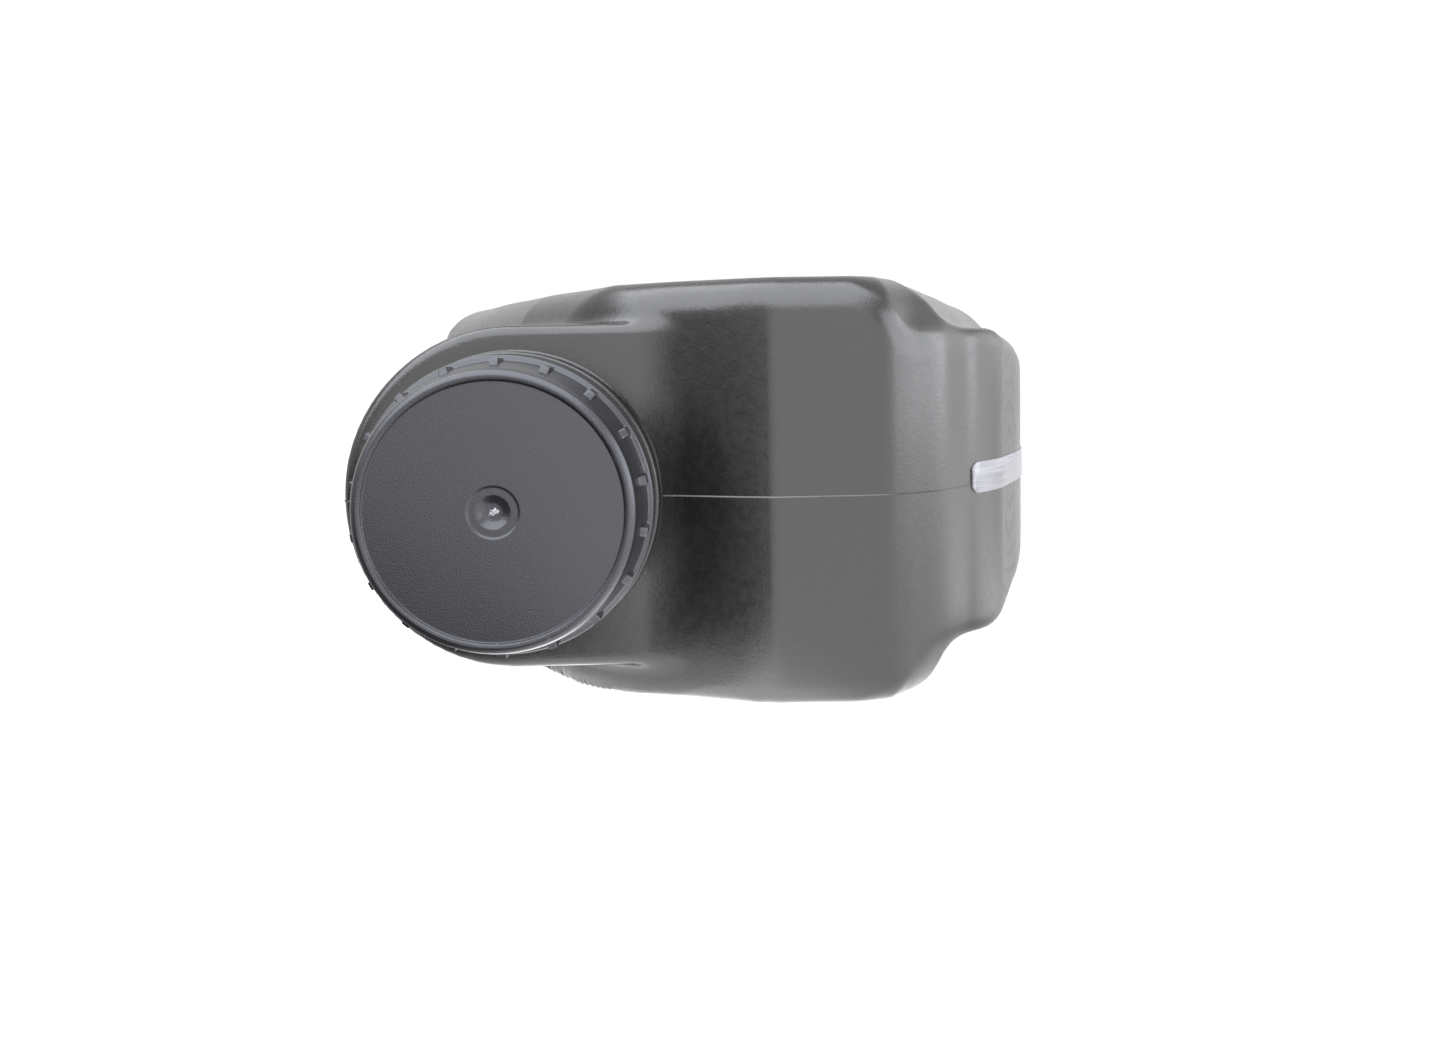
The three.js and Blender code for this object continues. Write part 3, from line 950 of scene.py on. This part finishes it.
def make_collar(name, fit, place, material, node):
    top = fit["flange_top"]
    points = [
        (fit["ledge"], fit["foot"]),
        (fit["hole"] - 0.3, fit["foot"], 0.4),
        (fit["hole"] - 0.3, 0.3, 0.2),
        (fit["flange"], 0.3, 0.2),
        (fit["flange"], top, 0.9),
        (fit["bore"], top, 0.7),
        (fit["bore"], fit["foot"] + 2, 0.4),
        (fit["ledge"], fit["foot"] + 2, 0.2),
    ]
    low, turns = fit["collar_thread"]

    def relief(theta, radius, height):
        tooth = screw_tooth(theta, height, low, turns, fit["pitch"], fit["root"], fit["crest"])
        wall = np.abs(radius - fit["bore"]) < 0.05
        return radius - np.where(wall, fit["tooth"] * tooth, 0), height

    collar = turned(name, points, place, 144, relief, closed=True)
    shade(collar)
    finish_piece(collar, "tank", material, [node])


def make_plug(name, fit, place, material, body, node):
    foot = fit["flange_top"] + 2 * (0.3 + fit["seal_size"])
    top = foot + fit["head_thickness"]
    stem = fit["bore"] - fit["tooth"] - 0.6
    hollow = stem - 2.4
    head = fit["head"]
    points = [
        (0, foot + 1.4),
        (hollow, foot + 1.4, 0.6),
        (hollow, fit["stem_foot"], 0.4),
        (stem, fit["stem_foot"], 0.5),
        (stem, foot, 0.3),
        (head, foot, 0.4),
        (head, top, 1.1),
        (head * 0.8, top, 0.4),
        (head * 0.77, top - 0.7, 0.4),
        (0, top - 0.7),
    ]
    low, turns = fit["plug_thread"]

    def relief(theta, radius, height):
        tooth = screw_tooth(theta, height, low, turns, fit["pitch"], fit["root"], fit["crest"])
        wall = np.abs(radius - stem) < 0.05
        grooves = 0.5 - 0.5 * np.cos(theta * fit["flutes"])
        rim = smooth_step(head - 1.6, head - 0.2, radius)
        change = np.where(wall, (fit["tooth"] + 0.1) * tooth, 0)
        return radius + change - 0.8 * rim * grooves**2, height

    plug = turned(name, points, place, fit["flutes"] * 8, relief)
    length, width, rise = fit["bar"]
    hub, sunk, hub_top = fit["hub"], top - 1.6, top + rise * 0.62
    grip = rounded_bar(name + "_bar", length, width, sunk, top + rise, place)
    points = [(0, sunk), (hub, sunk), (hub, hub_top, 1.2), (0, hub_top)]
    boss = turned(name + "_hub", points, place, 64)
    combine(plug, [boss, grip])
    shade(plug)
    finish_piece(plug, body, material, [node])


def make_ring(name, fit, place, material, body, node):
    middle, size = fit["flange_top"] + 0.3 + fit["seal_size"], fit["seal_size"]
    chords = 20
    points = []
    for k in range(chords):
        angle = k * TAU / chords
        points.append((
            fit["seal_radius"] + size * math.cos(angle),
            middle + size * math.sin(angle),
        ))
    ring = turned(name, points, place, 120, closed=True, spacing=5)
    shade(ring, 60)
    finish_piece(ring, body, material, [node])


def make_strainer(material):
    rim = INLET["foot"] + 2.3
    wall = INLET["ledge"] - 0.7
    foot = INLET["foot"] - 18
    points = [
        (0, foot),
        (wall, foot, 1.2),
        (wall, rim, 0.2),
        (INLET["bore"] - 0.7, rim, 0.3),
        (INLET["bore"] - 0.7, rim + 1.2, 0.3),
        (wall - 1.4, rim + 1.2, 0.4),
        (wall - 1.4, foot + 1.4, 0.8),
        (0, foot + 1.4),
    ]
    cup = turned("inlet_strainer_cup", points, AT_INLET, 120, spacing=1)

    slots, holes, hole_circle = 10, 7, 10
    cutters = []
    for i in range(slots):
        spin = Matrix.Rotation(i * TAU / slots, 4, "Z")
        place = AT_INLET @ spin @ Matrix.Translation(Vector((wall, 0, 0)) * MM)
        cutters.append(
            rounded_bar("slot", 8, 3.2, foot + 4, INLET["foot"] - 2, place, radius=1.5)
        )
    for i in range(holes):
        spin = Matrix.Rotation(i * TAU / holes, 4, "Z")
        place = AT_INLET @ spin @ Matrix.Translation(Vector((hole_circle, 0, 0)) * MM)
        points = [(0, foot - 1), (2.4, foot - 1), (2.4, foot + 3), (0, foot + 3)]
        cutters.append(turned("hole", points, place, 32, spacing=10))
    combine(cup, cutters, "DIFFERENCE")
    shade(cup)
    finish_piece(cup, "tank", material, ["inlet_strainer"])


def make_object():
    shell, caps, rubber = polyethylene(), polypropylene(), nitrile()
    liner = foam()
    tank = make_tank(shell)
    path = parting_path(tank)
    make_parting_flash(path, shell)
    make_trimmed_land(path, trimmed_polyethylene_painted_highlight())
    make_pour_cap(caps)
    make_gate_mark(broken_polypropylene())
    make_liner(liner)
    make_collar("inlet_collar_moulding", INLET, AT_INLET, caps, "inlet_collar")
    make_strainer(caps)
    make_plug("inlet_plug_moulding", INLET, AT_INLET, caps, "inlet_plug", "inlet_plug")
    make_ring("inlet_plug_o_ring", INLET, AT_INLET, rubber, "inlet_seal", "inlet_plug_seal")
    make_collar("vent_collar_moulding", VENT, AT_VENT, caps, "vent_collar")
    make_plug("vent_plug_moulding", VENT, AT_VENT, caps, "vent_plug", "vent_plug")
    make_ring("vent_plug_o_ring", VENT, AT_VENT, rubber, "vent_seal", "vent_plug_seal")


# ---- camera, floor and light --------------------------------------------------------------
def make_camera():
    """Looks along +Y from just above the parting plane, with the object low in its frame."""
    data = bpy.data.cameras.new("camera")
    data.sensor_width = 36
    data.lens = 32.14
    data.shift_y = -0.05
    data.clip_start, data.clip_end = 0.01, 50
    camera = bpy.data.objects.new("camera", data)
    pitch, roll = math.radians(3.68), math.radians(-1.15)
    turn = Matrix.Rotation(math.radians(90) - pitch, 4, "X") @ Matrix.Rotation(roll, 4, "Z")
    away, up = 340, 38
    eye = Vector((0, CAP_LOW[1] - away, PARTING + up)) * MM
    camera.matrix_world = Matrix.Translation(eye) @ turn
    bpy.context.scene.collection.objects.link(camera)
    bpy.context.scene.camera = camera


def make_light(name, size, place, target, power, colour):
    data = bpy.data.lights.new(name, "AREA")
    data.shape = "RECTANGLE"
    data.size, data.size_y = size
    data.energy = power
    data.color = colour
    light = bpy.data.objects.new(name, data)
    light.location = place
    aim = Vector(target) - Vector(place)
    light.rotation_mode = "QUATERNION"
    light.rotation_quaternion = aim.to_track_quat("-Z", "Y")
    bpy.context.scene.collection.objects.link(light)


def glowing_floor():
    """Glows evenly white to the camera. What the plastic reflects of it is painted light: bright
    in front of the blunt end, painted dark shade towards the front left, bright again beside the
    right shoulder and even beyond."""
    even, bright_front, bright_right = 0.95, 3.0, 1.8
    end_y = -0.15
    s = Shader("glowing_floor")
    patches = s.ramp(s.noise(3, 2), 0.3, 0.7, 0, 1)
    s.link(s.mix(patches, grey(0.06), grey(0.08)), s.base.inputs["Base Color"])
    s.base.inputs["Roughness"].default_value = 0.9
    s.base.inputs["Specular IOR Level"].default_value = 0.1
    s.base.inputs["Emission Color"].default_value = (1, 1, 1, 1)

    place = s.node("ShaderNodeSeparateXYZ")
    s.link(s.coords, place.inputs["Vector"])
    x, y = place.outputs["X"], place.outputs["Y"]
    ahead = s.math("MAXIMUM", s.math("SUBTRACT", end_y, y), 0.03)
    turned_left = s.math("DIVIDE", x, ahead)
    in_front = s.ramp(y, -0.17, -0.11, 1, 0)
    # painted light for reflections only: a bright glow in front of the blunt end giving way to a
    # painted dark patch towards the front left
    front = s.math("SUBTRACT", s.ramp(turned_left, -0.58, -0.34, 0.0, bright_front), even)
    # painted pool of light in front of the blunt end, seen only in reflections
    pool = s.ramp(s.distance((-0.02, -0.145, 0)), 0.03, 0.08, 3.6, 0)
    lit = s.math("ADD", s.math("MULTIPLY", front, in_front), s.math("ADD", pool, even))

    # painted glow beside the right shoulder, seen only in reflections
    slant = s.math("DIVIDE", s.math("ADD", y, 0.13), s.math("MAXIMUM", x, 0.01))
    right = s.ramp(slant, 0.3, 0.75, bright_right, 0)
    right = s.math("MULTIPLY", right, s.ramp(x, 0.1, 0.2, 0, 1))
    lit = s.math("ADD", lit, s.math("MULTIPLY", right, s.math("SUBTRACT", 1, in_front)))

    # the camera sees an even white glow, and everything else sees the painted light and shade
    seen = s.node("ShaderNodeLightPath").outputs["Is Camera Ray"]
    lit = s.math("MULTIPLY", lit, s.math("SUBTRACT", 1, seen))
    s.link(s.math("ADD", lit, seen), s.base.inputs["Emission Strength"])
    return s.material


def make_floor():
    reach = 40
    corners = [(-reach, -reach, 0), (reach, -reach, 0), (reach, reach, 0), (-reach, reach, 0)]
    mesh = bpy.data.meshes.new("studio_floor")
    mesh.from_pydata(corners, [], [(0, 1, 2, 3)])
    floor = bpy.data.objects.new("studio_floor", mesh)
    floor.location.z = -0.0005
    bpy.context.scene.collection.objects.link(floor)
    floor.data.materials.append(glowing_floor())


def make_world():
    """A white room, white to the camera, with a dark corner at the front left."""
    white = 1.02
    world = bpy.data.worlds.new("studio")
    bpy.context.scene.world = world
    world.use_nodes = True
    nodes, links = world.node_tree.nodes, world.node_tree.links
    sky = nodes["Background"]
    sky.inputs["Color"].default_value = (1, 1, 1, 1)
    heading = nodes.new("ShaderNodeSeparateXYZ")
    links.new(nodes.new("ShaderNodeTexCoord").outputs["Generated"], heading.inputs["Vector"])

    def fade(source, low, high, start, end):
        made = nodes.new("ShaderNodeMapRange")
        made.interpolation_type = "SMOOTHSTEP"
        for socket, value in zip(made.inputs[1:5], (low, high, start, end)):
            if isinstance(value, (int, float)):
                socket.default_value = value
            else:
                links.new(value, socket)
        links.new(source, made.inputs["Value"])
        return made.outputs["Result"]

    dark, bright = -0.52, -0.32
    below = fade(heading.outputs["X"], dark, bright, 0.0, 3.1)
    above = fade(heading.outputs["X"], dark, bright, 1.6, 3.5)
    front = fade(heading.outputs["Z"], -0.06, 0.06, below, above)
    front = fade(heading.outputs["Z"], 0.1, 0.3, front, 1.5)
    sides = fade(heading.outputs["X"], 0.55, 0.9, 1.1, 2.7)
    room = fade(heading.outputs["Y"], -0.42, -0.1, front, sides)
    seen = nodes.new("ShaderNodeLightPath").outputs["Is Camera Ray"]
    links.new(fade(seen, 0, 1, room, white), sky.inputs["Strength"])


def make_lights():
    cool = (0.93, 0.95, 1)
    make_light("top_softbox", (2.6, 2.4), (-0.3, -0.6, 1.2), (0, 0, 0), 110, cool)
    make_light("right_softbox", (1.6, 1.0), (1.4, -0.5, 0.35), (0, -0.1, 0.06), 24, cool)


make_camera()
make_floor()
make_world()
make_lights()
make_object()

scene = bpy.context.scene
scene.view_settings.view_transform = "Standard"
